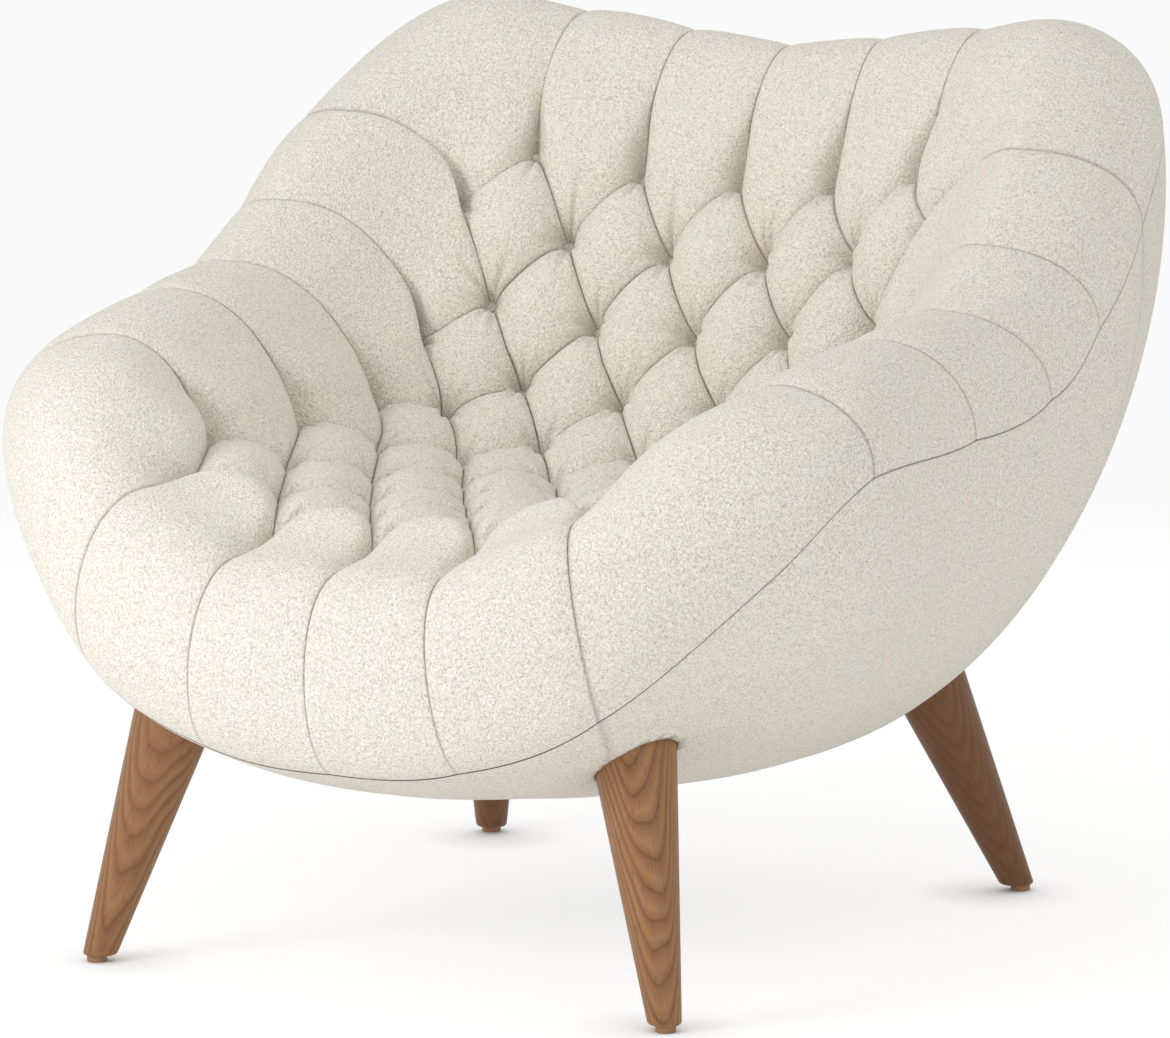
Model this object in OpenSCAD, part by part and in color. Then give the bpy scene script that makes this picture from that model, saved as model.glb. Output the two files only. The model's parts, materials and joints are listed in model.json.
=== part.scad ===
// Easy chair: a button-tufted tub with a thick rolled rim, on four splayed turned legs.
// Millimetres, +Z up, the front towards -Y. The origin is on the floor, under the middle of the chair.
// Two sheets carry every shape: the tufted sheet of seat and back, where buttons stand in
// columns c (-5 to 5) and rows r (0 at the top of the back, 10 at the front of the seat), and the
// roll around it, which is lofted over stations u (0 front centre, 5 arm, 10 back centre).

/* [Seat and back line] */
// Height of the sheet under the front row of buttons
seat_front_h = 371; // [355:1:390]
// Distance of the front row of buttons ahead of the centre
seat_front_y = 372; // [350:1:390]
// Length of the straight part of the seat line
seat_run = 364; // [340:1:390]
// Fall of the seat line towards the back, in degrees
seat_fall = 1.7; // [0:0.1:4]
// Radius of the bend from the seat to the back
bend_r = 230; // [200:5:260]
// Slope of the back line, in degrees from level
back_slope = 57; // [53:1:61]

/* [Tufting] */
// Distance from one row of buttons to the next, along the seat and back line
row_pitch = 80; // [76:1:84]
// Distance from one column of buttons to the next
column_pitch = 52; // [49:1:55]
// Rise of the sheet at its outer columns
side_rise = 65; // [50:1:80]
// Set-back of the outer columns at the front
side_setback = 58; // [40:1:70]
// Height of a puff above its buttons
puff_rise = 40; // [20:1:44]
// Height of a pleat halfway between its two buttons
pleat_rise = 13; // [6:1:18]
// Diameter of a covered button
button_d = 11; // [9:0.5:12]
// Thickness of a covered button's round top
button_t = 4; // [2:0.5:6]

/* [Roll] */
// Height of the roll at the front
roll_front_h = 376; // [360:1:392]
// Height of the roll at the wings, its highest place
roll_wing_h = 792; // [760:1:830]
// Half of the width between the two arm crests
roll_half_w = 365; // [350:1:385]
// Distance of the front crest ahead of the centre
roll_front_y = 424; // [410:1:440]
// Distance of the back crest behind the centre
roll_back_y = 383; // [370:1:400]
// Height of a roll channel over its seams, at the crest
roll_puff = 8; // [3:1:14]
// The same height where the roll crosses the front of the seat
roll_front_puff = 15; // [6:1:20]

/* [Cover seam] */
// Height of the seam under the roll, at the front
seam_front_h = 207; // [195:1:220]
// Height of that seam behind the wings
seam_wing_h = 765; // [740:1:790]
// Half of the chair's width at that seam
seam_half_w = 452; // [440:1:470]
// Distance of that seam ahead of the centre, at the front
seam_front_y = 444; // [430:1:460]
// Distance of that seam behind the centre, at the back
seam_back_y = 414; // [400:1:430]
// Gap between the roll and the outside panels along that seam
seam_gap = 0.8; // [0.3:0.1:1]

/* [Underside] */
// Height of the flat panel under the chair
base_h = 154; // [140:1:165]
// Half of that panel's width
base_half_w = 140; // [120:1:160]
// Half of that panel's depth
base_half_d = 166; // [140:1:180]
// Distance of that panel's middle behind the centre
base_y = 37; // [20:1:55]
// Thickness of that panel
base_t = 4; // [3:0.5:6]

/* [Padding] */
// Thickness of the tufted pads under their buttons
pad_t = 34; // [28:1:40]
// Thickness of the padding over the roll
roll_pad_t = 36; // [28:1:42]
// Thickness of the outside panels
shell_t = 12; // [8:1:16]

/* [Legs] */
// Half of the distance between the front feet
front_foot_x = 287; // [270:1:300]
// Distance of the front feet ahead of the centre
front_foot_y = 370; // [355:1:385]
// Half of the distance between the back feet
back_foot_x = 283; // [265:1:295]
// Distance of the back feet behind the centre
back_foot_y = 313; // [300:1:330]
// Sideways splay of every leg, in degrees
leg_splay = 14; // [11:0.5:16]
// Forward rake of the front legs, in degrees
front_rake = 11.5; // [8:0.5:14]
// Backward rake of the back legs, in degrees
back_rake = 23.5; // [20:0.5:26]
// Diameter of a leg at its foot
leg_foot_d = 29; // [26:0.5:34]
// Diameter of a leg at its top
leg_top_d = 76; // [66:1:80]
// Width of the eased edge around a leg's level foot
foot_ease = 2; // [1:0.5:3]
// Clearance around each leg where it passes through the cover
leg_gap = 0.6; // [0.3:0.1:1.5]

/* [Glides and leg fasteners] */
// Diameter of a glide
glide_d = 18; // [15:0.5:24]
// Thickness of a glide
glide_t = 6; // [5:0.5:8]
// Diameter of a glide's stem
glide_stem_d = 7; // [5:0.5:7.5]
// Length of a glide's stem inside the leg
glide_stem_l = 16; // [12:1:18]
// Diameter of the bolt that joins a leg to its block
bolt_d = 10; // [8:1:12]
// Length of that bolt inside the leg
bolt_leg_l = 45; // [35:1:60]
// Outer diameter of the threaded insert in the block
insert_d = 14; // [13:1:18]
// Length of that insert
insert_l = 26; // [20:1:30]
// Clearance of stems, bolts and inserts in their holes
bore_gap = 0.1; // [0.05:0.05:0.3]

/* [Frame] */
// Height of the frame rails' upper edge
rail_top_h = 292; // [286:1:298]
// Height of a frame rail
rail_h = 40; // [34:1:42]
// Thickness of a frame rail
rail_t = 25; // [20:1:28]
// Half of the frame's width, to the outside of its side rails
frame_half_w = 245; // [238:1:248]
// Distance of the front rail's outside ahead of the centre
frame_front_y = 345; // [338:1:348]
// Distance of the back rail's outside behind the centre
frame_back_y = 262; // [252:1:270]
// Clearance between neighbouring frame parts
frame_gap = 0.2; // [0.1:0.1:0.5]
// Diameter of the bent rim tube inside the roll
rim_d = 22; // [18:1:25]
// Distance from the padding over the crest down to the middle of the rim tube
rim_drop = 26; // [22:1:32]
// Diameter of the posts that carry the rim tube
post_d = 14; // [12:1:16]
// Diameter of the flange at the foot of a post
flange_d = 24; // [23:1:25]
// Thickness of that flange
flange_t = 3; // [2:0.5:3]
// Width of a webbing strap
strap_w = 50; // [40:1:54]
// Thickness of a webbing strap
strap_t = 1.6; // [1:0.2:2.5]
// Number of straps under the seat
seat_straps_n = 5; // [3:1:6]
// Side of a square leg block
block_w = 80; // [74:1:84]
// Height of a leg block's top over the middle of its leg's top
block_rise = 52; // [46:1:60]
// Distance of the back posts from the middle
back_post_x = 120; // [100:5:140]
// Gap between cushions, foam and frame
foam_gap = 0.3; // [0.2:0.1:0.8]
// Half of the width of the seat foam
seat_foam_half_w = 200; // [180:5:215]

/* [Hidden] */
ROWS = 10;
SIDE = 5;
CELL = 4;
ACROSS = 2 * CELL;
ALONG = 12;
ALONG_BACK = 4;
SHELL_ALONG = 8;
$fn = 64;

fabric = [0.86, 0.83, 0.76];
walnut = [0.42, 0.26, 0.16];
beech = [0.80, 0.66, 0.46];
steel = [0.45, 0.46, 0.48];
webbing = [0.25, 0.25, 0.27];
nylon = [0.35, 0.22, 0.14];

// The roll's crest at its thirteen stations: across, along and up, as shares of the sizes above.
crest_shape = [
    [0, 0, 0], [0.285, 0, 0.01], [0.58, 0.035, 0.13], [0.80, 0.105, 0.31], [0.925, 0.205, 0.395],
    [0.985, 0.37, 0.455], [1, 0.495, 0.49], [0.99, 0.605, 0.605], [0.96, 0.725, 0.785],
    [0.87, 0.917, 1], [0.57, 0.98, 0.985], [0.275, 0.995, 0.95], [0, 1, 0.925]
];
// The seam under the roll at the same stations, in the same way.
seam_shape = [
    [0, 0, 0], [0.275, 0.005, 0.02], [0.555, 0.025, 0.115], [0.83, 0.10, 0.33], [0.955, 0.20, 0.475],
    [0.975, 0.40, 0.495], [0.99, 0.555, 0.53], [1, 0.655, 0.625], [0.99, 0.765, 0.77],
    [0.875, 0.92, 0.95], [0.52, 0.985, 1], [0.25, 0.997, 0.97], [0, 1, 0.955]
];
// The way the roll faces at each station, in degrees from +X.
facing = [-90, -86, -72, -42, -12, 0, 2, 6, 16, 48, 78, 86, 90];
// How far the outside leans out (positive) or in below the seam, in degrees from straight down.
lean = [-65, -65, -50, -25, -5, 0, 3, 4, 5, 10, 38, 50, 52];
// The way from the middle of the flat underside to its edge, in degrees from the front.
base_turn = [0, 20, 40, 54, 70, 86, 99, 112, 126, 139, 149, 166, 180];
// How full the loft is: at the crest, at the seam from above, at the seam from below, at the base.
fullness = [0.45, 0.35, 0.33, 0.37];
swell_power = 0.6;
side_power = 2.6;
setback_power = 4;
tuck = 0.2;

function mix(a, b, t) = a + (b - a) * t;
function unit(v) = v / norm(v);
function flip(p) = [-p[0], p[1], p[2]];
function ease(t) = let(k = min(1, max(0, t))) k * k * (3 - 2 * k);
function flatten(lists) = [for (list = lists) each list];
function turn(degrees) = [cos(degrees), sin(degrees), 0];

// The seat and back line: a straight seat, a round bend and a straight back.
bend_l = (back_slope + seat_fall) * bend_r * PI / 180;
bend_start = [-seat_front_y + seat_run * cos(seat_fall), seat_front_h - seat_run * sin(seat_fall)];
bend_mid = bend_start + bend_r * [sin(seat_fall), cos(seat_fall)];
bend_end = bend_mid + bend_r * [sin(back_slope), -cos(back_slope)];

function line_slope(s) =
    min(back_slope, max(-seat_fall, (s - seat_run) * 180 / (PI * bend_r) - seat_fall));
function line_point(s) =
    s < seat_run ? bend_start + (s - seat_run) * [cos(seat_fall), -sin(seat_fall)] :
    s < seat_run + bend_l ? bend_mid + bend_r * [sin(line_slope(s)), -cos(line_slope(s))] :
    bend_end + (s - seat_run - bend_l) * [cos(back_slope), sin(back_slope)];

// The sheet that the buttons are pulled down to, and the way it faces.
function sheet(c, r) =
    let(
        k = abs(c) / SIDE,
        s = (ROWS - r) * row_pitch + side_setback * pow(k, setback_power) * (r + 1) / (ROWS + 1),
        p = line_point(s),
        a = line_slope(s),
        up = side_rise * pow(k, side_power)
    ) [c * column_pitch, p[0] - up * sin(a), p[1] + up * cos(a)];
function sheet_normal(c, r) =
    let(e = 0.05)
    unit(cross(sheet(c + e, r) - sheet(c - e, r), sheet(c, r - e) - sheet(c, r + e)));

// A puff stands highest in the middle of its four pleats and meets each pleat in a crease.
function swell(x) = pow(abs(sin(180 * x)), swell_power);
function puff(a, b) =
    pleat_rise * (swell(a) + swell(b)) + (puff_rise - 2 * pleat_rise) * swell(a) * swell(b);

// Lofting around the ring of stations. Stations 2.5 and 7.5 stand at the corners.
function station(u) = u <= 2 ? u : u <= 3 ? 2 * u - 2 : u <= 7 ? u + 1 : u <= 8 ? 2 * u - 6 : u + 2;
function knot(ring, i) = i < 0 ? flip(ring[-i]) : i > 12 ? flip(ring[24 - i]) : ring[i];
function spline(p, t) =
    0.5 * (2 * p[1] + (p[2] - p[0]) * t + (2 * p[0] - 5 * p[1] + 4 * p[2] - p[3]) * t * t
    + (3 * p[1] - p[0] - 3 * p[2] + p[3]) * t * t * t);
function around(ring, u) =
    let(s = station(u), i = min(11, floor(s)))
    spline([for (k = [-1:2]) knot(ring, i + k)], s - i);

crest_ring = [for (p = crest_shape) [
    p[0] * roll_half_w, mix(-roll_front_y, roll_back_y, p[1]), mix(roll_front_h, roll_wing_h, p[2])]];
seam_ring = [for (p = seam_shape) [
    p[0] * seam_half_w, mix(-seam_front_y, seam_back_y, p[1]), mix(seam_front_h, seam_wing_h, p[2])]];
facing_ring = [for (a = facing) turn(a)];
lean_ring = [for (a = lean) [0, sin(a), -cos(a)]];
base_ring = [for (a = base_turn) [base_half_w * sin(a), base_y - base_half_d * cos(a), base_h]];

// The line of outer buttons that the roll starts from, and the way from it into the seat.
function edge(u) =
    u <= 2 ? [2 * u, ROWS] : u <= 3 ? [2 + u, ROWS + 2 - u] : u <= 7 ? [SIDE, 15 - 2 * u] :
    u <= 8 ? [12 - u, 8 - u] : [20 - 2 * u, 0];
function inward(u) =
    u <= 2 ? [0, -1] : u < 3 ? [-0.5, -0.5] : u <= 7 ? [-1, 0] : u < 8 ? [-0.5, 0.5] : [0, 1];
function at_corner(u) = (u > 2 && u < 3) || (u > 7 && u < 8);
function tent(f) = 1 - abs(2 * f - 1);
// Along a corner's one pleat the roll has twice the pad's points, so every other one lies between two.
function between_pleats(u) = at_corner(u) && (u * CELL) % 1 != 0;

// Where a roll channel rises out of the tufting: on its pleats at w = 0, rounder above them.
function root(u, w) =
    let(
        f = u - floor(u),
        m = ease(w / tuck),
        d = at_corner(u) ? 0.8 * m * sin(180 * f) : mix(tent(f), sin(180 * f), m),
        place = edge(u) + d * inward(u),
        rise = pleat_rise * swell(at_corner(u) ? f : 2 * f)
    ) sheet(place[0], place[1]) + rise * sheet_normal(place[0], place[1]);
function crest_puff(u) =
    mix(roll_front_puff, roll_puff, ease((u - 1) / 2)) * swell(u);
function quarter(a, b, t) =
    let(middle = [b[0], b[1], a[2]]) middle + (a - middle) * cos(90 * t) + (b - middle) * sin(90 * t);
function bezier(p, t) =
    pow(1 - t, 3) * p[0] + 3 * t * pow(1 - t, 2) * p[1] + 3 * t * t * (1 - t) * p[2] + pow(t, 3) * p[3];
function down_at(u) =
    let(l = unit(around(lean_ring, u)), out = unit(around(facing_ring, u))) [
        out[0] * l[1], out[1] * l[1], l[2]];
function over_side(u, crest, seam, t) =
    let(
        d = norm(seam - crest),
        out = unit(around(facing_ring, u)),
        line = [crest, crest + fullness[0] * d * out, seam - fullness[1] * d * down_at(u), seam]
    ) bezier(line, t);

// The roll's outer face: w runs from the pleats (0) over the crest (0.5) to the cover seam (1).
function roll_top(u, w) =
    u > 10 ? flip(roll_top(20 - u, w)) :
    w == 0 && between_pleats(u) ? mix(roll_top(u - 1 / ACROSS, 0), roll_top(u + 1 / ACROSS, 0), 0.5) :
    let(crest = around(crest_ring, u) + [0, 0, crest_puff(u)])
    w < 0.5 ? quarter(root(u, w), crest, 2 * w) :
    let(
        t = 2 * w - 1,
        out = unit(around(facing_ring, u)),
        side = roll_puff * swell(u) * (1 - 0.8 * t) * sin(90 * t)
    ) over_side(u, crest, around(seam_ring, u), t) + side * out;
// The roll's inner face, one padding thickness below.
function roll_under(u, w) =
    u > 10 ? flip(roll_under(20 - u, w)) :
    w == 0 && between_pleats(u) ? mix(roll_under(u - 1 / ACROSS, 0), roll_under(u + 1 / ACROSS, 0), 0.5) :
    let(
        f = u - floor(u),
        place = edge(u) + (at_corner(u) ? 0 : tent(f)) * inward(u),
        start = sheet(place[0], place[1]) - pad_t * sheet_normal(place[0], place[1]),
        out = unit(around(facing_ring, u)),
        crest = around(crest_ring, u) - [0, 0, roll_pad_t],
        seam = around(seam_ring, u) - roll_pad_t * out
    )
    w < 0.5 ? quarter(start, crest, 2 * w) : over_side(u, crest, seam, 2 * w - 1);

// The outside face: v runs from the cover seam (0) to the flat underside (1).
function outside(u, v, depth) =
    u > 10 ? flip(outside(20 - u, v, depth)) :
    let(
        seam = around(seam_ring, u),
        foot = around(base_ring, u),
        e = norm(seam - foot),
        out = unit([seam[0] - foot[0], seam[1] - foot[1], 0]),
        line = [seam, seam + fullness[2] * e * down_at(u), foot + fullness[3] * e * out, foot],
        l = unit(around(lean_ring, u)),
        face = v == 0 ? unit(around(facing_ring, u)) :
            unit(mix(unit([out[0] * -l[2], out[1] * -l[2], l[1]]), [0, 0, -1], ease(v)))
    ) bezier(line, v) - depth * face - [0, 0, seam_gap * (1 - v)];

// Faces between two runs of points that lie side by side.
function strip(a, b, n) = flatten([for (i = [0:n - 1]) [
    [a + i, a + i + 1, b + i + 1], [a + i, b + i + 1, b + i]]]);
function turned(faces) = [for (f = faces) [f[0], f[2], f[1]]];
// Faces between a fine run and a coarse one, with step fine points to each coarse one.
function stitch(a, a_step, n, b, b_step, step) = flatten([for (j = [0:n - 1]) concat(
    [for (k = [0:step - 1]) [a + (j * step + k) * a_step, a + (j * step + k + 1) * a_step, b + j * b_step]],
    [[a + (j + 1) * step * a_step, b + (j + 1) * b_step, b + j * b_step]])]);

// A length of roll between two seams, as one closed solid.
module roll(from, to) {
    columns = (to - from) * ACROSS;
    wide = columns + 1;
    us = [for (i = [0:columns]) let(u = from + i / ACROSS) u < 0 ? u + 20 : u];
    top = flatten([for (j = [0:ALONG]) [for (u = us) roll_top(u, j / ALONG)]]);
    under = flatten([for (j = [0:ALONG_BACK]) [for (u = us) roll_under(u, j / ALONG_BACK)]]);
    first = wide * (ALONG + 1);
    ratio = ALONG / ALONG_BACK;
    faces = concat(
        flatten([for (j = [0:ALONG - 1]) strip(j * wide, (j + 1) * wide, columns)]),
        flatten([for (j = [0:ALONG_BACK - 1])
            turned(strip(first + j * wide, first + (j + 1) * wide, columns))]),
        turned(strip(0, first, columns)),
        strip(ALONG * wide, first + ALONG_BACK * wide, columns),
        stitch(0, wide, ALONG_BACK, first, wide, ratio),
        turned(stitch(columns, wide, ALONG_BACK, first + columns, wide, ratio)));
    polyhedron(concat(top, under), faces, convexity = 8);
}

// The diamonds between four buttons, each named by its upper button, for a span of rows.
function diamonds(first, last) = [for (r = [first:last]) for (c = [-4:4])
    if ((c + r) % 2 == 0 && abs(c) <= (r % 2 == 0 ? 4 : 3)) [c, r]];

// A tufted pad over these diamonds. Its points lie on a lattice along the two ways of the pleats.
module tufted_pad(cells) {
    span = 10 * CELL + 1;
    shift = 5 * CELL / 2;
    function spot(a, b) = [(a - b) / CELL, (a + b - 2 * shift) / CELL];
    function index(a, b) = a * span + b;
    function corners(list) =
        [for (c = list) [(c[0] + c[1]) * CELL / 2 + shift, (c[1] - c[0]) * CELL / 2 + shift]];
    used = corners(cells);
    seat = corners(diamonds(5, 8));
    function has(a, b) = len([for (k = used) if (k[0] == a && k[1] == b) 1]) > 0;
    function meets_seat(a, b) = len([for (k = seat) if (k[0] == a && k[1] == b) 1]) > 0;
    spots = flatten([for (a = [0:span - 1]) [for (b = [0:span - 1]) [a, b]]]);
    top = [for (s = spots) let(p = spot(s[0], s[1]))
        sheet(p[0], p[1]) + puff((s[0] - shift) / CELL, (s[1] - shift) / CELL) * sheet_normal(p[0], p[1])];
    under = [for (s = spots) let(p = spot(s[0], s[1]))
        sheet(p[0], p[1]) - pad_t * sheet_normal(p[0], p[1])];
    n = span * span;
    tops = flatten([for (k = used) for (i = [0:CELL - 1]) for (j = [0:CELL - 1])
        let(a = index(k[0] + i, k[1] + j), b = index(k[0] + i + 1, k[1] + j),
            c = index(k[0] + i + 1, k[1] + j + 1), d = index(k[0] + i, k[1] + j + 1))
        (i < CELL / 2) == (j < CELL / 2) ? [[a, b, c], [a, c, d]] : [[a, b, d], [b, c, d]]]);
    function wall(p, q) = [[p, q, q + n], [p, q + n, p + n]];
    function wall_to_pad(p, q) = [[p, q, p + n], [q, q + n, p + n]];
    walls = flatten([for (k = used) for (i = [0:CELL - 1]) concat(
        has(k[0], k[1] - CELL) ? [] : wall(index(k[0] + i + 1, k[1]), index(k[0] + i, k[1])),
        has(k[0], k[1] + CELL) ? [] : meets_seat(k[0], k[1] + CELL) ?
            wall_to_pad(index(k[0] + i, k[1] + CELL), index(k[0] + i + 1, k[1] + CELL)) :
            wall(index(k[0] + i, k[1] + CELL), index(k[0] + i + 1, k[1] + CELL)),
        has(k[0] - CELL, k[1]) ? [] : wall(index(k[0], k[1] + i), index(k[0], k[1] + i + 1)),
        has(k[0] + CELL, k[1]) ? [] : meets_seat(k[0] + CELL, k[1]) ?
            wall_to_pad(index(k[0] + CELL, k[1] + i + 1), index(k[0] + CELL, k[1] + i)) :
            wall(index(k[0] + CELL, k[1] + i + 1), index(k[0] + CELL, k[1] + i)))]);
    unders = [for (f = tops) [f[0] + n, f[2] + n, f[1] + n]];
    polyhedron(concat(top, under), concat(tops, unders, walls), convexity = 8);
}

// An outside panel between two stations, hollow behind. Its edge at the seam follows the roll's points,
// and the rows below it are twice as coarse.
module outside_panel(from, to) {
    fine = round((to - from) * ACROSS);
    columns = fine / 2;
    wide = columns + 1;
    function at(k, n) = let(u = mix(from, to, k / n)) u < 0 ? u + 20 : u;
    function skin(depth) = concat(
        [for (i = [0:fine]) outside(at(i, fine), 0, depth)],
        flatten([for (j = [1:SHELL_ALONG]) [for (i = [0:columns])
            outside(at(i, columns), j / SHELL_ALONG, depth)]]));
    outer = skin(0);
    n = len(outer);
    first = fine + 1;
    last = n - wide;
    function rows(start) = concat(
        stitch(start, 1, columns, start + first, 1, 2),
        flatten([for (j = [0:SHELL_ALONG - 2])
            strip(start + first + j * wide, start + first + (j + 1) * wide, columns)]));
    function side(k) = flatten([for (j = [0:SHELL_ALONG - 2])
        let(p = first + j * wide + k, q = p + wide) [[p, n + p, n + q], [p, n + q, q]]]);
    function corner(a, b) = [[a, n + a, n + b], [a, n + b, b]];
    faces = concat(
        rows(0),
        turned(rows(n)),
        turned(strip(0, n, fine)),
        strip(last, n + last, columns),
        turned(concat(corner(0, first), side(0))),
        concat(corner(fine, first + columns), side(columns)));
    difference() {
        polyhedron(concat(outer, skin(shell_t)), faces, convexity = 8);
        children();
    }
}

// Legs. Each stands on its foot point and leans in by its splay and its rake.
front_foot = [front_foot_x, -front_foot_y, 0];
back_foot = [back_foot_x, back_foot_y, 0];
front_way = unit([-tan(leg_splay), tan(front_rake), 1]);
back_way = unit([-tan(leg_splay), -tan(back_rake), 1]);
leg_top_h = rail_top_h - block_rise;
leg_foot_h = glide_t + bore_gap;

module point_along(start, way) {
    translate(start) rotate([0, acos(way[2]), atan2(way[1], way[0])]) children();
}
function leg_r(height) =
    mix(leg_foot_d, leg_top_d, (height - leg_foot_h) / (leg_top_h - leg_foot_h)) / 2;

// A turned leg, cut level at the foot, with the foot's edge eased, a hole at the foot for the glide's
// stem and one at the top for the bolt.
module leg(foot, way) {
    low = -leg_foot_d / 2;
    high = leg_top_h / way[2];
    rim = leg_foot_d / 2 - foot_ease / 2;
    color(walnut) difference() {
        point_along(foot, way) translate([0, 0, low])
            cylinder(h = high - low, r1 = leg_r(low * way[2]), r2 = leg_top_d / 2);
        translate(foot + [-leg_top_d, -leg_top_d, leg_foot_h - leg_top_d])
            cube([2 * leg_top_d, 2 * leg_top_d, leg_top_d]);
        translate(foot + [0, 0, leg_foot_h]) rotate_extrude()
            polygon([[rim - 1, -1], [leg_foot_d, -1], [leg_foot_d, leg_foot_d - rim]]);
        translate(foot + [0, 0, leg_foot_h - 1]) cylinder(h = glide_stem_l + 1, d = glide_stem_d + 2 * bore_gap);
        point_along(foot, way) translate([0, 0, high - bolt_leg_l])
            cylinder(h = bolt_leg_l + 1, d = bolt_d + 2 * bore_gap);
    }
}
// The opening that a leg needs in the cover.
module leg_opening(foot, way) {
    from = 0.6 * leg_top_h;
    to = 1.25 * leg_top_h;
    point_along(foot + from / way[2] * way, way)
        cylinder(h = (to - from) / way[2], r1 = leg_r(from) + leg_gap, r2 = leg_r(to) + leg_gap);
}
module right_leg_openings() {
    leg_opening(front_foot, front_way);
    leg_opening(back_foot, back_way);
}
module left_leg_openings() { mirror([1, 0, 0]) right_leg_openings(); }

// A glide: a flat disc on the floor, with a stem up into the leg.
module glide(foot) {
    r = glide_d / 2;
    bevel = glide_t / 8;
    top = leg_foot_h + glide_stem_l - 1;
    translate(foot) rotate_extrude() polygon([
        [0, 0], [r - bevel, 0], [r, bevel], [r, glide_t], [glide_stem_d / 2, glide_t],
        [glide_stem_d / 2, top], [0, top]]);
}
module bolt(foot, way) {
    point_along(foot + leg_top_h / way[2] * way, way) translate([0, 0, 1 - bolt_leg_l])
        cylinder(h = bolt_leg_l + insert_l - 2, d = bolt_d);
}
module insert(foot, way) {
    point_along(foot + leg_top_h / way[2] * way, way) translate([0, 0, frame_gap]) difference() {
        cylinder(h = insert_l, d = insert_d);
        translate([0, 0, -1]) cylinder(h = insert_l + 2, d = bolt_d + 2 * bore_gap);
    }
}

// A leg block fills a corner of the frame. Its underside is cut square to the leg.
module leg_block(foot, way, back) {
    side = back ? 1 : -1;
    outer = back ? frame_back_y : frame_front_y;
    top = foot + leg_top_h / way[2] * way;
    color(beech) difference() {
        translate([frame_half_w - block_w, min(side * outer, side * (outer - block_w)), base_h + 30])
            cube([block_w, block_w, rail_top_h - base_h - 30]);
        point_along(top, way) translate([-block_w * 1.5, -block_w * 1.5, frame_gap - 2 * block_w])
            cube([3 * block_w, 3 * block_w, 2 * block_w]);
        point_along(top, way) translate([0, 0, -1])
            cylinder(h = insert_l + 2, d = insert_d + 2 * bore_gap);
    }
}

// Rails between the blocks.
rail_z = rail_top_h - rail_h;
inner_x = frame_half_w - block_w - frame_gap;
module cross_rail(y) {
    color(beech) translate([-inner_x, y, rail_z]) cube([2 * inner_x, rail_t, rail_h]);
}
module side_rail() {
    start = -frame_front_y + block_w + frame_gap;
    color(beech) translate([frame_half_w - rail_t, start, rail_z])
        cube([rail_t, frame_back_y - block_w - frame_gap - start, rail_h]);
}

// The rim tube hangs just under the padding of the roll's crest, all the way round.
RIM_SIDES = 12;
RIM_STEPS = 3;
function rim_crest(u) = u > 10 ? flip(around(crest_ring, 20 - u)) : around(crest_ring, u);
function rim_way(u) = unit(rim_crest(min(20, u + 0.05)) - rim_crest(max(0, u - 0.05)));
function rim_up(u) = let(t = rim_way(u)) unit([0, 0, 1] - t[2] * t);
function rim_point(u) = rim_crest(u) - [0, 0, roll_pad_t] - rim_drop * rim_up(u);
module rim_hoop() {
    n = 20 * RIM_STEPS;
    points = flatten([for (i = [0:n - 1])
        let(u = i / RIM_STEPS, up = rim_up(u), out = cross(rim_way(u), up))
        [for (k = [0:RIM_SIDES - 1]) let(a = 360 * k / RIM_SIDES)
            rim_point(u) + rim_d / 2 * (cos(a) * out + sin(a) * up)]]);
    faces = flatten([for (i = [0:n - 1]) flatten([for (k = [0:RIM_SIDES - 1])
        let(
            a = i * RIM_SIDES + k,
            b = i * RIM_SIDES + (k + 1) % RIM_SIDES,
            c = (i + 1) % n * RIM_SIDES + (k + 1) % RIM_SIDES,
            d = (i + 1) % n * RIM_SIDES + k
        ) [[a, b, c], [a, c, d]]])]);
    polyhedron(points, faces, convexity = 6);
}

// A post stands with a round flange on a rail. Its upper end is cut to the rim tube.
module post(start, u) {
    goal = rim_point(u);
    way = unit(goal - start);
    union() {
        translate(start) cylinder(h = flange_t, d = flange_d);
        difference() {
            point_along(start - post_d * way, way) rotate([0, 0, 90])
                cylinder(h = norm(goal - start) + post_d, d = post_d);
            point_along(goal - post_d * rim_way(u), rim_way(u))
                cylinder(h = 2 * post_d, d = rim_d + 2 * foam_gap);
            translate(start - [2 * flange_d, 2 * flange_d, 2 * flange_d - flange_t / 2])
                cube([4 * flange_d, 4 * flange_d, 2 * flange_d]);
        }
    }
}
back_start = [back_post_x, frame_back_y - rail_t / 2, rail_top_h];
back_u = 10 - 2 * back_post_x / 200;

// Straps across the seat frame, lying on the side rails.
function seat_strap_y(i) = mix(-frame_front_y + block_w + strap_w, frame_back_y - block_w - strap_w,
    i / (seat_straps_n - 1));
module seat_strap_set() {
    for (i = [0:seat_straps_n - 1])
        translate([4 - frame_half_w, seat_strap_y(i) - strap_w / 2, rail_top_h])
            cube([2 * frame_half_w - 8, strap_w, strap_t]);
}
module seat_foam_block() {
    from = -frame_front_y;
    to = bend_start[0];
    low = rail_top_h + strap_t + foam_gap;
    drop = (pad_t + foam_gap) / cos(seat_fall);
    function top(y) = seat_front_h - (y + seat_front_y) * tan(seat_fall) - drop;
    rotate([90, 0, 90]) translate([0, 0, -seat_foam_half_w]) linear_extrude(2 * seat_foam_half_w)
        polygon([[from, low], [to, low], [to, top(to)], [from, top(from)]]);
}

// Buttons: round tops on a tapered back that stays clear of the puffs around it.
button_taper = 18;
button_lift = 0.4;
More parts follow.
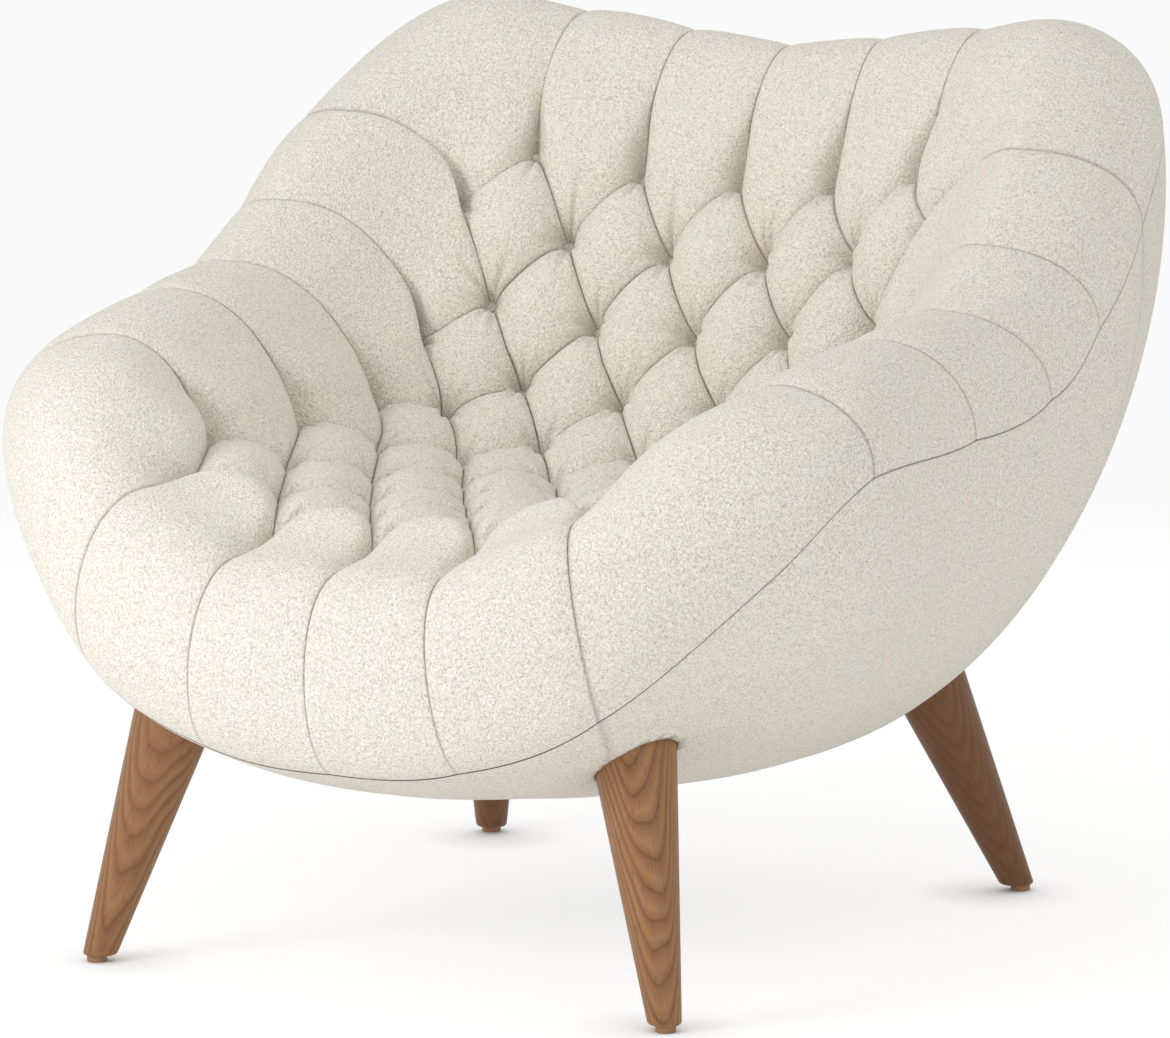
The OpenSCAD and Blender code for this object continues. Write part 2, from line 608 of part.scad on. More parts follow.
// The buttons along the roll lean away from it: beside the arms, at the front corners and under
// the top of the back.
side_lean = [-0.76, -0.18, 0.63];
corner_lean = [-0.28, 0.58, 0.76];
top_lean = [0, -0.35, -0.3];
function button_way(c, r) =
    c < 0 ? flip(button_way(-c, r)) :
    c == SIDE ? unit(side_lean) :
    r == 0 ? unit(sheet_normal(c, r) + top_lean) :
    r == ROWS && c == SIDE - 1 ? unit(corner_lean) : sheet_normal(c, r);
module button(c, r) {
    high = button_d / 2 / tan(button_taper);
    point_along(sheet(c, r), button_way(c, r)) translate([0, 0, button_lift]) rotate_extrude()
        polygon(concat([[0, 0], [button_d / 2, high], [button_d / 2, high + 1]],
            [for (a = [30:30:90]) [button_d / 2 * cos(a), high + 1 + (button_t - 1) * sin(a)]]));
}
function button_spots(first, last) = [for (r = [first:last]) for (c = [-SIDE:SIDE])
    if ((c + r) % 2 == 0) [c, r]];

base_outline = [for (u = [0:0.25:19.75]) let(p = u > 10 ? flip(around(base_ring, 20 - u)) : around(base_ring, u))
    let(k = 1 - seam_gap / base_half_w) [p[0] * k, base_y + (p[1] - base_y) * k]];

module seat_pad() { color(fabric) tufted_pad(diamonds(5, 8)); }
module back_pad() { color(fabric) tufted_pad(diamonds(0, 4)); }
module front_roll() { color(fabric) roll(-2, 2); }
module right_arm_roll() { color(fabric) roll(2, 7); }
module left_arm_roll() { color(fabric) roll(13, 18); }
module back_roll() { color(fabric) roll(7, 13); }
module buttons(first, last) { color(fabric) for (k = button_spots(first, last)) button(k[0], k[1]); }
module upper_back_buttons() { buttons(0, 2); }
module lower_back_buttons() { buttons(3, 5); }
module seat_buttons() { buttons(6, 8); }
module front_buttons() { buttons(9, ROWS); }
module outside_front() {
    color(fabric) outside_panel(-2, 2) { right_leg_openings(); left_leg_openings(); }
}
module outside_right() { color(fabric) outside_panel(2, 7) right_leg_openings(); }
module outside_left() { color(fabric) outside_panel(13, 18) left_leg_openings(); }
module outside_back() {
    color(fabric) outside_panel(7, 13) { right_leg_openings(); left_leg_openings(); }
}
module underside_panel() {
    color(webbing) translate([0, 0, base_h]) linear_extrude(base_t) polygon(base_outline);
}
module seat_foam() { color(fabric) seat_foam_block(); }
module seat_straps() { color(webbing) seat_strap_set(); }
module rim_tube() { color(steel) rim_hoop(); }
module arm_posts() {
    color(steel) for (side = [0, 1]) mirror([side, 0, 0]) {
        post([frame_half_w - rail_t / 2, seat_strap_y(0.5), rail_top_h], 4);
        post([frame_half_w - rail_t / 2, seat_strap_y(seat_straps_n - 1.5), rail_top_h], 6);
    }
}
module back_posts() { color(steel) for (side = [0, 1]) mirror([side, 0, 0]) post(back_start, back_u); }
module front_rail() { cross_rail(-frame_front_y); }
module back_rail() { cross_rail(frame_back_y - rail_t); }
module right_side_rail() { side_rail(); }
module left_side_rail() { mirror([1, 0, 0]) side_rail(); }
module front_right_block() { leg_block(front_foot, front_way, false); }
module front_left_block() { mirror([1, 0, 0]) leg_block(front_foot, front_way, false); }
module back_right_block() { leg_block(back_foot, back_way, true); }
module back_left_block() { mirror([1, 0, 0]) leg_block(back_foot, back_way, true); }
module leg_inserts() {
    color(steel) for (side = [0, 1]) mirror([side, 0, 0]) {
        insert(front_foot, front_way);
        insert(back_foot, back_way);
    }
}
module leg_bolts() {
    color(steel) for (side = [0, 1]) mirror([side, 0, 0]) {
        bolt(front_foot, front_way);
        bolt(back_foot, back_way);
    }
}
module front_right_leg() { leg(front_foot, front_way); }
module front_left_leg() { mirror([1, 0, 0]) leg(front_foot, front_way); }
module back_right_leg() { leg(back_foot, back_way); }
module back_left_leg() { mirror([1, 0, 0]) leg(back_foot, back_way); }
module glides() {
    color(nylon) for (side = [0, 1]) mirror([side, 0, 0]) {
        glide(front_foot);
        glide(back_foot);
    }
}

seat_pad();
back_pad();
front_roll();
right_arm_roll();
left_arm_roll();
back_roll();
upper_back_buttons();
lower_back_buttons();
seat_buttons();
front_buttons();
outside_front();
outside_right();
outside_left();
outside_back();
underside_panel();
seat_foam();
seat_straps();
rim_tube();
arm_posts();
back_posts();
front_rail();
back_rail();
right_side_rail();
left_side_rail();
front_right_block();
front_left_block();
back_right_block();
back_left_block();
leg_inserts();
leg_bolts();
front_right_leg();
front_left_leg();
back_right_leg();
back_left_leg();
glides();
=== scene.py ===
import json
from math import acos, atan2, cos, pi, radians, sin, tan

import bmesh
import bpy
import numpy as np
from mathutils import Euler, Matrix, Vector


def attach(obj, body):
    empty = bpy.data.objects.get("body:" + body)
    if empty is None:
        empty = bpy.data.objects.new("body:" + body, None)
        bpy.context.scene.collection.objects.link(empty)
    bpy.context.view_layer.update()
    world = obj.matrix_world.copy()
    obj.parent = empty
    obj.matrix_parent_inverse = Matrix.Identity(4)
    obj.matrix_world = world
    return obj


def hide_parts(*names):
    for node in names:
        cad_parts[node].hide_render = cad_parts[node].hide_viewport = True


# Easy chair. The soft cover is built over two shapes: the tufted sheet of seat and back, with button
# columns c (-5 to 5) and rows r (0 top of the back, 10 front of the seat), and the roll around it,
# which runs over stations u (0 front centre, 5 arm, 10 back centre).

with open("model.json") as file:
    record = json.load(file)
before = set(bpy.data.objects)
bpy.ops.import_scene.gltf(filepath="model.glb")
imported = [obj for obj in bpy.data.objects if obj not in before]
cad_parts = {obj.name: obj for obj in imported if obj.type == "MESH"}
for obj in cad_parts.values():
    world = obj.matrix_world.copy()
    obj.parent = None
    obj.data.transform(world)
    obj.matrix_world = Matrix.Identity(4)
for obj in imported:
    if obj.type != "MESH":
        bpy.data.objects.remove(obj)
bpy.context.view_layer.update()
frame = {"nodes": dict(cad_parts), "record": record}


# shapes shared by the soft pieces

seatLine = {
    "frontHeight": 0.371,
    "frontReach": 0.372,
    "straight": 0.364,
    "fall": radians(1.7),
    "bendRadius": 0.230,
    "backSlope": radians(57),
}

tufting = {
    "rowPitch": 0.080,
    "columnPitch": 0.052,
    "sideRise": 0.065,
    "sidePower": 2.6,
    "sideSetback": 0.058,
    "puffRise": 0.050,
    "pleatRise": 0.030,
    "pleatLength": 0.095,
    "pitRadius": 0.0085,
    "swellPower": 0.52,  # lower is squarer
    "padThickness": 0.034,
    "creaseWidth": 0.0008,
    "gather": 0.0040,
    "gatherReach": 0.015,
    "folds": 8,
    "foldShift": (2.4, 1.7),  # turns the folds from one button to the next
    "fill": 0.8,
    "cells": 36,  # mesh cells along a pleat
}

bendTurn = seatLine["backSlope"] + seatLine["fall"]
bendLength = bendTurn * seatLine["bendRadius"]
bendStart = (
    -seatLine["frontReach"] + seatLine["straight"] * cos(seatLine["fall"]),
    seatLine["frontHeight"] - seatLine["straight"] * sin(seatLine["fall"]),
)
bendMiddle = (
    bendStart[0] + seatLine["bendRadius"] * sin(seatLine["fall"]),
    bendStart[1] + seatLine["bendRadius"] * cos(seatLine["fall"]),
)


def ease(t):
    k = np.clip(t, 0, 1)
    return k * k * (3 - 2 * k)


def mix(a, b, t):
    return a + (b - a) * t


def unit(v):
    return v / np.linalg.norm(v, axis=-1, keepdims=True)


def sheetAt(c, r):
    k = np.abs(c) / 5
    s = (10 - r) * tufting["rowPitch"] + tufting["sideSetback"] * k**4 * (r + 1) / 11
    past = s - seatLine["straight"]
    a = np.clip(past / seatLine["bendRadius"] - seatLine["fall"], -seatLine["fall"], seatLine["backSlope"])
    level = np.minimum(past, 0) + np.maximum(past - bendLength, 0)
    y = bendMiddle[0] + seatLine["bendRadius"] * np.sin(a) + level * np.cos(a)
    z = bendMiddle[1] - seatLine["bendRadius"] * np.cos(a) + level * np.sin(a)
    up = tufting["sideRise"] * k ** tufting["sidePower"]
    return np.stack([c * tufting["columnPitch"], y - up * np.sin(a), z + up * np.cos(a)], -1)


def sheetNormal(c, r):
    step = 0.05
    across = sheetAt(c + step, r) - sheetAt(c - step, r)
    along = sheetAt(c, r - step) - sheetAt(c, r + step)
    return unit(np.cross(across, along))


def swell(x):
    return np.abs(np.sin(pi * x)) ** tufting["swellPower"]


def creaseAt(x):
    return np.exp(-((x / tufting["creaseWidth"]) ** 2))


def gatherAt(x, y, phase):
    # small folds that run out from a button, none along the pleats themselves
    reach = np.hypot(x, y) / tufting["gatherReach"]
    turn = np.arctan2(np.abs(y), np.abs(x))
    height = tufting["gather"] * reach * np.exp((1 - reach**2) / 2)
    return height * np.sin(2 * turn) * np.sin(tufting["folds"] * turn + phase)


def pitAt(reach):
    return 1 - np.exp(-((reach / tufting["pitRadius"]) ** 2))


def puffAt(a, b, full=tufting["puffRise"]):
    # a and b count the buttons along the two ways of the pleats
    sa, sb = swell(a), swell(b)
    both = sa * sb
    na, nb = np.round(a), np.round(b)
    x, y = a - na, b - nb
    shift = tufting["foldShift"][0] * na + tufting["foldShift"][1] * nb
    folds = gatherAt(x * tufting["pleatLength"], y * tufting["pleatLength"], shift)
    height = tufting["pleatRise"] * (sa + sb - both) + (full - tufting["pleatRise"]) * both
    return height * pitAt(np.hypot((x - y) * tufting["columnPitch"], (x + y) * tufting["rowPitch"])) + folds


rollSizes = {
    "frontHeight": 0.376,
    "wingHeight": 0.792,
    "halfWidth": 0.365,
    "frontReach": 0.424,
    "backReach": 0.383,
    "puff": 0.0065,
    "frontPuff": 0.010,
    "frontHold": 0.08,  # up to this w the front puffs stay full
    "frontFade": 0.28,  # how far over the crest they then reach
    "padding": 0.036,
    "foldLength": 0.020,  # how soon a channel turns round above its pleats
    "tipRound": 0.012,
    "tipPower": 0.2,
    "archStart": 0.9,
    "archLength": 0.09,  # how far up a channel gets its full arch
    "sideFade": 0.060,  # how far up the other channels stay puffed
    "sideRise": 0.033,
    "cornerRise": 0.026,
    "cornerSwell": 0.015,
    "fingerLength": 0.075,  # how far up a channel still reaches in over the sheet
    "fingerLeast": 0.12,
    "cornerReach": 0.40,
    "cornerLength": 0.05,
    "flatPower": 0.33,  # lower is flatter, with narrower seams
    "seamFrontHeight": 0.207,
    "seamWingHeight": 0.765,
    "seamHalfWidth": 0.452,
    "seamFrontReach": 0.444,
    "seamBackReach": 0.414,
    "seamGap": 0.0008,
    "scallop": 0.004,  # how far the cover seam hangs between two channel seams
    "scallopPower": 0.7,
    "channelWidth": 0.1,
    "pleatSide": 0.35,  # lengths that w stands for, for the crease lines
    "seamSide": 0.5,
    "closeShare": 0.2,  # the rows stand closer over this share of w, near the pleats
    "lastRows": [0.995, 0.998, 1],
    "fill": 0.9,
    "rows": 60,
}

# thirteen stations, front centre to back centre: shares across, along and up
crestShape = np.array([
    (0, 0, 0), (0.285, 0, 0.01), (0.58, 0.035, 0.13), (0.80, 0.105, 0.31), (0.925, 0.205, 0.395),
    (0.985, 0.37, 0.455), (1, 0.495, 0.49), (0.99, 0.605, 0.605), (0.96, 0.725, 0.785),
    (0.87, 0.917, 1), (0.57, 0.98, 0.985), (0.275, 0.995, 0.95), (0, 1, 0.925),
])
seamShape = np.array([
    (0, 0, 0), (0.275, 0.005, 0.02), (0.555, 0.025, 0.115), (0.83, 0.10, 0.33), (0.955, 0.20, 0.475),
    (0.975, 0.40, 0.495), (0.99, 0.555, 0.53), (1, 0.655, 0.625), (0.99, 0.765, 0.77),
    (0.875, 0.92, 0.95), (0.52, 0.985, 1), (0.25, 0.997, 0.97), (0, 1, 0.955),
])
facingTurn = np.radians([-90, -86, -72, -42, -12, 0, 2, 6, 16, 48, 78, 86, 90])
leanTurn = np.radians([-65, -65, -50, -25, -5, 0, 3, 4, 5, 10, 38, 50, 52])
baseTurn = np.radians([0, 20, 40, 54, 70, 86, 99, 112, 126, 139, 149, 166, 180])

underside = {"height": 0.154, "halfWidth": 0.140, "halfDepth": 0.166, "middle": 0.037}
fullness = {"crest": 0.45, "seamAbove": 0.35, "seamBelow": 0.33, "base": 0.37}


def ring(shape, halfWidth, front, back, low, high):
    return np.stack([
        shape[:, 0] * halfWidth, mix(-front, back, shape[:, 1]), mix(low, high, shape[:, 2])], -1)


crestRing = ring(
    crestShape, rollSizes["halfWidth"], rollSizes["frontReach"], rollSizes["backReach"],
    rollSizes["frontHeight"], rollSizes["wingHeight"])
seamRing = ring(
    seamShape, rollSizes["seamHalfWidth"], rollSizes["seamFrontReach"], rollSizes["seamBackReach"],
    rollSizes["seamFrontHeight"], rollSizes["seamWingHeight"])
facingRing = np.stack([np.cos(facingTurn), np.sin(facingTurn), 0 * facingTurn], -1)
leanRing = np.stack([0 * leanTurn, np.sin(leanTurn), -np.cos(leanTurn)], -1)
baseRing = np.stack([
    underside["halfWidth"] * np.sin(baseTurn),
    underside["middle"] - underside["halfDepth"] * np.cos(baseTurn),
    0 * baseTurn + underside["height"],
], -1)
mirrorX = np.array([-1, 1, 1])


def around(knots, u):
    # smooth curve through the stations; 2.5 and 7.5 are the corners
    s = np.select([u <= 2, u <= 3, u <= 7, u <= 8], [u, 2 * u - 2, u + 1, 2 * u - 6], u + 2)
    last = len(knots) - 2
    i = np.minimum(last, np.floor(s)).astype(int)
    t = (s - i)[..., None]
    more = np.vstack([knots[1] * mirrorX, knots, knots[last] * mirrorX])
    a, b, c, d = more[i], more[i + 1], more[i + 2], more[i + 3]
    return 0.5 * (2 * b + (c - a) * t + (2 * a - 5 * b + 4 * c - d) * t**2 + (3 * b - a - 3 * c + d) * t**3)


def bezier(a, b, c, d, t):
    t = t[..., None]
    return (1 - t) ** 3 * a + 3 * t * (1 - t) ** 2 * b + 3 * t * t * (1 - t) * c + t**3 * d


def atCorner(u):
    return ((u > 2) & (u < 3)) | ((u > 7) & (u < 8))


def edgeOf(u):
    # the line of outer buttons that the roll starts from
    c = np.select([u <= 2, u <= 3, u <= 7, u <= 8], [2 * u, 2 + u, 0 * u + 5, 12 - u], 20 - 2 * u)
    r = np.select([u <= 2, u <= 3, u <= 7, u <= 8], [0 * u + 10, 12 - u, 15 - 2 * u, 8 - u], 0 * u)
    return c, r


def inwardOf(u):
    c = np.select([u <= 2, u < 3, u <= 7, u < 8], [0 * u, 0 * u - 0.5, 0 * u - 1, 0 * u - 0.5], 0 * u)
    r = np.select([u <= 2, u < 3, u <= 7, u < 8], [0 * u - 1, 0 * u - 0.5, 0 * u, 0 * u + 0.5], 0 * u + 1)
    return c, r


def downAt(u):
    lean = unit(around(leanRing, u))
    out = unit(around(facingRing, u))
    return np.stack([out[..., 0] * lean[..., 1], out[..., 1] * lean[..., 1], lean[..., 2]], -1)


def quarter(a, b, t):
    middle = np.stack([b[..., 0], b[..., 1], a[..., 2]], -1)
    t = t[..., None] * pi / 2
    return middle + (a - middle) * np.cos(t) + (b - middle) * np.sin(t)


def overSide(u, crest, seam, t):
    d = np.linalg.norm(seam - crest, axis=-1, keepdims=True)
    over = crest + fullness["crest"] * d * unit(around(facingRing, u))
    above = seam - fullness["seamAbove"] * d * downAt(u)
    return bezier(crest, over, above, seam, t)


def folded(u):
    v = np.mod(u, 20)
    return np.where(v > 10, 20 - v, v), np.where(v > 10, -1.0, 1.0)


def archAt(f, power):
    return np.abs(np.sin(pi * f)) ** power


def seamAt(u):
    hang = rollSizes["scallop"] * archAt(u - np.floor(u), rollSizes["scallopPower"])
    return around(seamRing, u) + hang[..., None] * downAt(u)


def channelDepth(u, s):
    # how far a channel reaches in over the tufted sheet, counted in button columns or rows
    f = u - np.floor(u)
    keep = mix(rollSizes["fingerLeast"], 1, np.exp(-((s / rollSizes["fingerLength"]) ** 2)))
    full = ease(s / rollSizes["archLength"])
    arch = archAt(f, mix(rollSizes["archStart"], rollSizes["flatPower"], full))
    bend = s / rollSizes["foldLength"]
    tip = archAt(f, rollSizes["tipPower"] * (1 - np.exp(-s / rollSizes["tipRound"])))
    tent = (np.hypot(1, bend) - np.hypot(2 * f - 1, bend)) * tip
    corner = keep * rollSizes["cornerReach"] * ease(s / rollSizes["cornerLength"]) * arch
    return np.where(atCorner(u), corner, mix(tent, keep * arch, full))


def channelRise(u, w, s, d):
    # the channels start as puffs like the pads' own, which reach over the crest at the front
    f = u - np.floor(u)
    front = 1 - ease((u - 1.5) / 1.5)
    fade = mix(
        np.exp(-((s / rollSizes["sideFade"]) ** 2)),
        np.exp(-((np.maximum(w - rollSizes["frontHold"], 0) / rollSizes["frontFade"]) ** 2)), front)
    inside = (1 - d * np.cos(pi * np.clip(w, 0, 0.5))) / 2
    full = mix(rollSizes["sideRise"], tufting["puffRise"], front)
    puff = puffAt(np.clip(inside + f - 0.5, 0, 1), np.clip(inside + 0.5 - f, 0, 1), full)
    top = mix(tufting["pleatRise"], rollSizes["cornerRise"], 1 - np.exp(-s / rollSizes["cornerSwell"]))
    corner = top * swell(f) * pitAt(np.minimum(f, 1 - f) * tufting["pleatLength"])
    return fade * np.where(atCorner(u), corner, puff)


def rollTop(u, w):
    # w runs from the pleats (0) over the crest (0.5) to the cover seam (1)
    u, side = folded(u)
    c, r = edgeOf(u)
    dc, dr = inwardOf(u)
    crest = around(crestRing, u)
    reach = np.linalg.norm(crest - sheetAt(c, r), axis=-1)
    s = 2.5 * np.clip(w, 0, 0.5) * reach  # about the length from the pleats, as far as the crest
    d = channelDepth(u, s)
    c, r = c + d * dc, r + d * dr
    normal = sheetNormal(c, r)
    raised = channelRise(u, w, s, d)
    flat = archAt(u - np.floor(u), rollSizes["flatPower"])
    crest[..., 2] += mix(rollSizes["frontPuff"], rollSizes["puff"], ease((u - 1) / 2)) * flat
    t = np.clip(2 * w - 1, 0, 1)
    out = unit(around(facingRing, u))
    up = np.array([0, 0, 1.0])
    bulge = rollSizes["puff"] * flat * (1 - t) * np.sin(pi / 2 * t)
    outer = overSide(u, crest, seamAt(u), t) + bulge[..., None] * out
    outer = outer + raised[..., None] * mix(up, out, np.sin(pi / 2 * t)[..., None])
    inner = quarter(sheetAt(c, r), crest, np.clip(2 * w, 0, 1))
    inner = inner + raised[..., None] * unit(mix(normal, up, ease(2 * w)[..., None]))
    p = np.where((w < 0.5)[..., None], inner, outer)
    p[..., 0] *= side
    return p


def rollCrease(u, w):
    # 1 in the seams and pleats, 0 elsewhere; there the cloth takes painted shade along with the dark seam
    # line
    x = np.minimum(np.mod(u, 1), 1 - np.mod(u, 1)) * rollSizes["channelWidth"]
    return np.maximum.reduce([
        creaseAt(x), creaseAt(w * rollSizes["pleatSide"]), creaseAt((1 - w) * rollSizes["seamSide"])])


def rollUnder(u, w):
    u, side = folded(u)
    f = u - np.floor(u)
    d = np.where(atCorner(u), 0, 1 - np.abs(2 * f - 1))
    c, r = edgeOf(u)
    dc, dr = inwardOf(u)
    c, r = c + d * dc, r + d * dr
    start = sheetAt(c, r) - tufting["padThickness"] * sheetNormal(c, r)
    out = unit(around(facingRing, u))
    crest = around(crestRing, u) - np.array([0, 0, rollSizes["padding"]])
    seam = around(seamRing, u) - rollSizes["padding"] * out
    inner = quarter(start, crest, np.clip(2 * w, 0, 1))
    outer = overSide(u, crest, seam, np.clip(2 * w - 1, 0, 1))
    p = np.where((w < 0.5)[..., None], inner, outer)
    p[..., 0] *= side
    return p


def outsideAt(u, v, depth):
    # v runs from the cover seam (0) to the flat underside (1)
    u, side = folded(u)
    seam, foot = seamAt(u), around(baseRing, u)
    e = np.linalg.norm(seam - foot, axis=-1, keepdims=True)
    out = unit((seam - foot) * np.array([1, 1, 0]))
    down = downAt(u)
    p = bezier(seam, seam + fullness["seamBelow"] * e * down, foot + fullness["base"] * e * out, foot, v)
    lean = unit(around(leanRing, u))
    square = np.stack([out[..., 0] * -lean[..., 2], out[..., 1] * -lean[..., 2], lean[..., 1]], -1)
    face = unit(mix(unit(square), np.array([0, 0, -1.0]), ease(v)[..., None]))
    face = np.where((v == 0)[..., None], unit(around(facingRing, u)), face)
    p = p - depth * face
    p[..., 2] -= rollSizes["seamGap"] * (1 - v)
    p[..., 0] *= side
    return p


# mesh helpers


def grid(bm, xs, ys, place, crease=None):
    # a flat grid with its points moved to place(x, y)
    layer = bm.verts.layers.float.get("crease") or bm.verts.layers.float.new("crease")
    made = bmesh.ops.create_grid(bm, x_segments=len(xs) - 1, y_segments=len(ys) - 1, size=1)["verts"]
    x, y = np.meshgrid(xs, ys, indexing="ij")
    points = place(x, y)
    shade = crease(x, y) if crease else 0 * x
    for v in made:
        i = round((v.co.x + 1) / 2 * (len(xs) - 1))
        j = round((v.co.y + 1) / 2 * (len(ys) - 1))
        v.co = points[i, j]
        v[layer] = shade[i, j]


def closePad(bm):
    # the outer skin and the inner one each have one rim; a wall joins the two
    bmesh.ops.remove_doubles(bm, verts=bm.verts, dist=1e-6)
    rim = [e for e in bm.edges if e.is_boundary]
    bmesh.ops.bridge_loops(bm, edges=rim)
    makeOutward(bm)


def makeOutward(bm):
    bmesh.ops.recalc_face_normals(bm, faces=bm.faces)
    left = sum(1 for e in bm.edges if not e.is_manifold)
    if left:
        print("open or doubled edges:", left)


def makePiece(name, bm, material, nodes):
    mesh = bpy.data.meshes.new(name)
    for f in bm.faces:
        f.smooth = True
    bm.to_mesh(mesh)
    bm.free()
    mesh.materials.append(material)
    piece = bpy.data.objects.new(name, mesh)
    bpy.context.scene.collection.objects.link(piece)
    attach(piece, "root")
    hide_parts(*nodes)
    print(name, len(mesh.polygons), "faces")
    return piece


def cosineSteps(n):
    return (1 - np.cos(np.linspace(0, pi, n + 1))) / 2


# materials


class Wire:
    # a socket that can be used in ordinary sums
    def __init__(self, paint, socket):
        self.paint, self.socket = paint, socket

    def math(self, operation, *values):
        return self.paint.node("Math", {"operation": operation}, dict(enumerate(values)))

    def __add__(self, other):
        return self.math("ADD", self, other)

    def __radd__(self, other):
        return self.math("ADD", other, self)

    def __sub__(self, other):
        return self.math("SUBTRACT", self, other)

    def __rsub__(self, other):
        return self.math("SUBTRACT", other, self)

    def __mul__(self, other):
        return self.math("MULTIPLY", self, other)

    def __rmul__(self, other):
        return self.math("MULTIPLY", other, self)

    def __truediv__(self, other):
        return self.math("DIVIDE", self, other)

    def __rtruediv__(self, other):
        return self.math("DIVIDE", other, self)

    def __pow__(self, other):
        return self.math("POWER", self, other)


class Paint:
    # one material under construction
    def __init__(self, name):
        self.material = bpy.data.materials.new(name)
        self.material.use_nodes = True
        self.tree = self.material.node_tree
        self.tree.nodes.clear()

    def node(self, kind, settings=None, inputs=None, output=0):
        made = self.tree.nodes.new("ShaderNode" + kind)
        for key, value in (settings or {}).items():
            if key == "stops":
                ramp = made.color_ramp.elements
                while len(ramp) < len(value):
                    ramp.new(1)
                for stop, (at, colour) in zip(ramp, value):
                    stop.position = at
                    stop.color = (*colour, 1)
            else:
                setattr(made, key, value)
        for key, value in (inputs or {}).items():
            inlet = made.inputs[key]
            if isinstance(value, Wire):
                self.tree.links.new(value.socket, inlet)
            elif hasattr(value, "__len__") and len(value) == 3 and len(inlet.default_value) == 4:
                inlet.default_value = (*value, 1)
            else:
                inlet.default_value = value
        return Wire(self, made.outputs[output])

    def place(self):
        return self.node("TexCoord", output="Object")

    def stretched(self, vector, share):
        # drawn out along the grain
        return self.node("Mapping", None, {"Vector": vector, "Scale": (1, 1, share)})

    def noise(self, vector, scale, detail=2, roughness=0.5):
        return self.node("TexNoise", None, {
            "Vector": vector, "Scale": scale, "Detail": detail, "Roughness": roughness}, "Fac")

    def cells(self, vector, scale):
        return self.node("TexVoronoi", None, {"Vector": vector, "Scale": scale}, "Distance")

    def ramp(self, value, stops):
        return self.node("ValToRGB", {"stops": stops}, {"Fac": value}, "Color")

    def blend(self, share, a, b):
        return self.node("Mix", {"data_type": "RGBA"}, {0: share, 6: a, 7: b}, 2)

    def spread(self, value, low, high, newLow=0.0, newHigh=1.0):
        return self.node("MapRange", None, {
            "Value": value, "From Min": low, "From Max": high, "To Min": newLow, "To Max": newHigh})

    def bump(self, height, distance, strength=1.0):
        return self.node("Bump", None, {"Height": height, "Distance": distance, "Strength": strength})

    def finish(self, **inputs):
        # Base_Color stands for the shader's socket Base Color
        named = {key.replace("_", " "): value for key, value in inputs.items()}
        shader = self.node("BsdfPrincipled", None, named)
        end = self.tree.nodes.new("ShaderNodeOutputMaterial")
        self.tree.links.new(shader.socket, end.inputs["Surface"])
        return self.material


wool = {
    "light": (0.95, 0.915, 0.82),
    "base": (0.79, 0.745, 0.65),
    "fleck": (0.43, 0.395, 0.335),
    "warm": (0.90, 0.80, 0.685),
    "cool": (0.82, 0.815, 0.735),
    "shade": (0.20, 0.175, 0.145),
    "loopScale": 420,
    "waveScale": 260,
    "waveDepth": 0.004,
    "strandScale": 620,
    "patchScale": 34,
    "fleckScale": 520,
    "creaseShade": 0.45,
    "bumpDepth": 0.0021,
}


def woolCloth():
    p = Paint("looped wool")
    at = p.place()
    wave = p.node("TexNoise", None, {"Vector": at, "Scale": wool["waveScale"], "Detail": 1}, "Color")
    shift = p.node("VectorMath", {"operation": "SCALE"}, {0: wave, "Scale": wool["waveDepth"]})
    wavy = p.node("VectorMath", {"operation": "ADD"}, {0: at, 1: shift})
    loops = p.cells(wavy, wool["loopScale"])
    strands = p.noise(wavy, wool["strandScale"], 2, 0.6)
    patches = p.noise(at, wool["patchScale"], 3, 0.6)
    flecks = p.spread(p.noise(wavy, wool["fleckScale"], 3, 0.6), 0.5, 0.64)
    light = p.blend(p.spread(loops, 0.1, 0.8), wool["light"], wool["base"])
    warmed = p.blend(p.spread(patches, 0.5, 0.7) * 0.6, light, wool["warm"])
    toned = p.blend(p.spread(patches, 0.5, 0.3) * 0.5, warmed, wool["cool"])
    flecked = p.blend(flecks * 0.6, toned, wool["fleck"])
    # painted shade in the seams and pleats, with the dark seam line itself, drawn from the crease mask
    crease = p.node("Attribute", {"attribute_name": "crease"}, None, "Fac")
    colour = p.blend(crease * wool["creaseShade"], flecked, wool["shade"])
    height = (1 - loops) * 0.6 + strands * 0.5
    return p.finish(
        Base_Color=colour,
        Roughness=0.92,
        Sheen_Weight=0.1,
        Sheen_Roughness=0.6,
        Specular_IOR_Level=0.15,
        Normal=p.bump(height, wool["bumpDepth"], 0.9),
    )


def plainPaint(name, a, b, scale, roughness, depth=0.0003, metallic=0.0, stretch=None):
    p = Paint(name)
    at = p.place()
    if stretch:
        at = p.node("Mapping", None, {"Vector": at, "Scale": stretch})
    grain = p.noise(at, scale, 4, 0.6)
    return p.finish(
        Base_Color=p.blend(p.spread(grain, 0.3, 0.7), a, b),
        Roughness=roughness,
        Metallic=metallic,
        Normal=p.bump(grain, depth),
    )


walnut = {
    "dark": (0.125, 0.050, 0.018),
    "middle": (0.29, 0.135, 0.055),
    "light": (0.41, 0.215, 0.095),
    "line": (0.185, 0.082, 0.032),
    "ringGap": 0.0029,
    "driftScale": 14,
    "drift": 0.022,
    "taper": 0.045,  # how much a ring narrows along the trunk
    "heart": (-0.014, 0.054, 0.0),  # where the tree's centre lay, seen from the leg's axis
}


